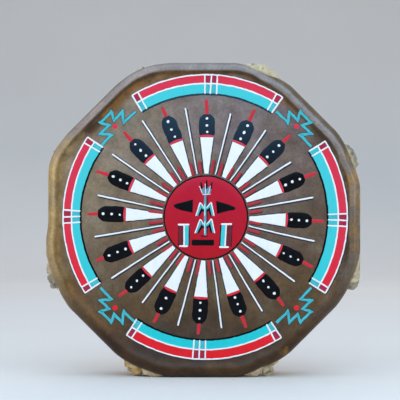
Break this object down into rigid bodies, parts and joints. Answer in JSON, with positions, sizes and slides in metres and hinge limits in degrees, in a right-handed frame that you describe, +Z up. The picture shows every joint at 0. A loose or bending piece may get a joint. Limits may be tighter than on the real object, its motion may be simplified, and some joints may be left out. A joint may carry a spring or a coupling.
{
  "type": "frame drum",
  "caption": "Octagonal two-headed hand drum: a shallow mitred wooden frame with rawhide heads laced to each other round the side, the front head painted.",
  "frame": {"origin": "on the ground under the middle of the drum, which stands on its bottom flat side", "axes": "+Z up, +Y from the painted front head towards the back head, +X to the right seen from the front"},
  "size_m": [0.406, 0.09, 0.406],
  "materials": {
    "frame_wood": "satin",
    "front_hide": "gloss",
    "back_hide": "satin",
    "lace_hide": "matte",
    "white_paint": "satin",
    "red_paint": "satin",
    "turquoise_paint": "satin",
    "black_paint": "satin"
  },
  "bodies": {
    "root": {"frame_stave_1": "frame_wood", "frame_stave_2": "frame_wood", "frame_stave_3": "frame_wood", "frame_stave_4": "frame_wood", "frame_stave_5": "frame_wood", "frame_stave_6": "frame_wood", "frame_stave_7": "frame_wood", "frame_stave_8": "frame_wood", "drumhead_front": "front_hide", "drumhead_back": "back_hide", "side_lace_1": "lace_hide", "side_lace_2": "lace_hide", "side_lace_3": "lace_hide", "side_lace_4": "lace_hide", "side_lace_5": "lace_hide", "side_lace_6": "lace_hide", "side_lace_7": "lace_hide", "side_lace_8": "lace_hide"}
  },
  "joints": []
}
